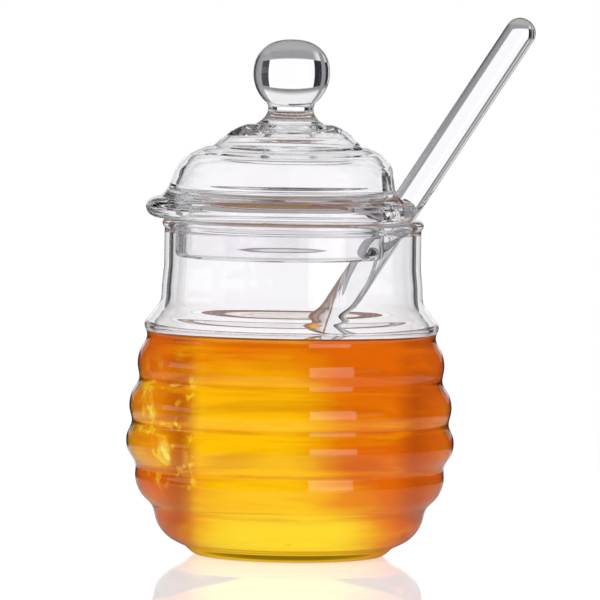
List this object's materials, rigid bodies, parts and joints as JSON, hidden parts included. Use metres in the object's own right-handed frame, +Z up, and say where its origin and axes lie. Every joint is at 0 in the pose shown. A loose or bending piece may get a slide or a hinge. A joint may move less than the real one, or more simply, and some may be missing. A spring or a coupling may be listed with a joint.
{
  "type": "honey jar with dipper",
  "caption": "Ridged beehive jar of clear glass with honey up to the shoulder, a knobbed glass lid resting on its rim, and a glass dipper leaning out through the lid's notch.",
  "frame": {"origin": "centre of the jar's flat base, on the jar's own axis", "axes": "+Z up along the jar's axis; +X towards the side where the dipper leans out through the lid's notch; the XZ plane is the plane of symmetry"},
  "size_m": [0.1062, 0.0864, 0.1422],
  "materials": {
    "jar_glass": "clear polished glass, colourless",
    "honey": "clear runny honey, golden yellow where thin and deep amber where thick",
    "dipper_glass": "clear polished glass, colourless",
    "lid_glass": "clear polished glass, colourless"
  },
  "bodies": {
    "root": {"jar": "jar_glass", "honey": "honey", "dipper": "dipper_glass", "lid": "lid_glass"}
  },
  "joints": []
}
